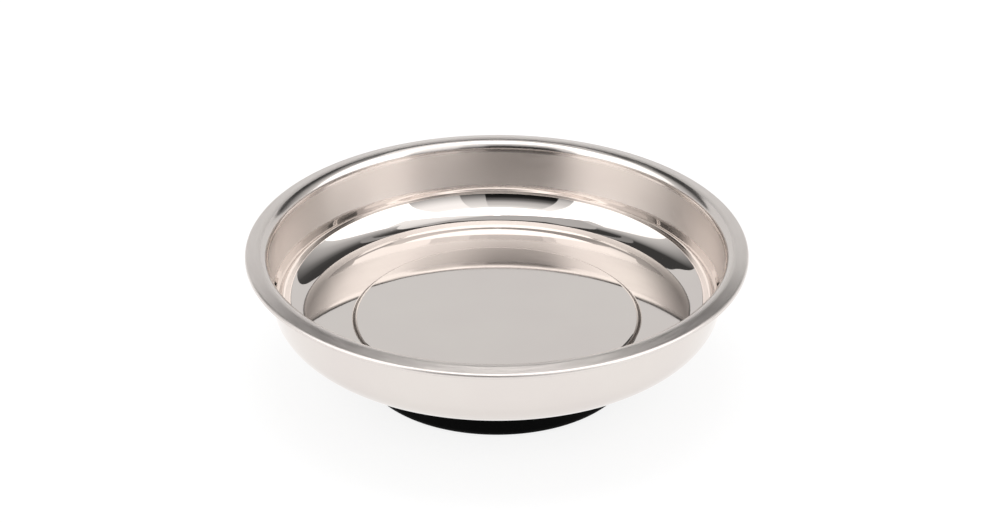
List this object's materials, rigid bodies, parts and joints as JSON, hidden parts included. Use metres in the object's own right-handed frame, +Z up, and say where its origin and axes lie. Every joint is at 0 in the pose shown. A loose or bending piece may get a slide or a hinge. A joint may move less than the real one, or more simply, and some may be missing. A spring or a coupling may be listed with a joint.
{
  "type": "magnetic parts tray",
  "caption": "Round stainless-steel dish with a flanged rim and raised floor disc, standing on a rubber-booted ring magnet, for holding small steel parts.",
  "frame": {"origin": "centre of the underside of the rubber boot, on the face that the tray stands on", "axes": "+Z is up, along the tray's axis and out of the mouth of the bowl; +X and +Y are any two directions across it"},
  "size_m": [0.15, 0.15, 0.0419],
  "materials": {
    "stainless_sheet": "polished outside and on the floor, satin on the rim and upper wall",
    "stud_steel": "bright turned",
    "pad_foam": "closed-cell foam",
    "ferrite": "sintered and ground",
    "zinc_plate": "bright zinc plated",
    "spring_steel": "plated spring steel",
    "boot_rubber": "moulded, matt"
  },
  "bodies": {
    "root": {"dish": "stainless_sheet", "weld_stud": "stud_steel", "seat_pad": "pad_foam", "ring_magnet": "ferrite", "clamp_cup": "zinc_plate", "flat_washer": "zinc_plate", "lock_washer": "spring_steel", "hex_nut": "zinc_plate", "rubber_boot": "boot_rubber"}
  },
  "joints": []
}
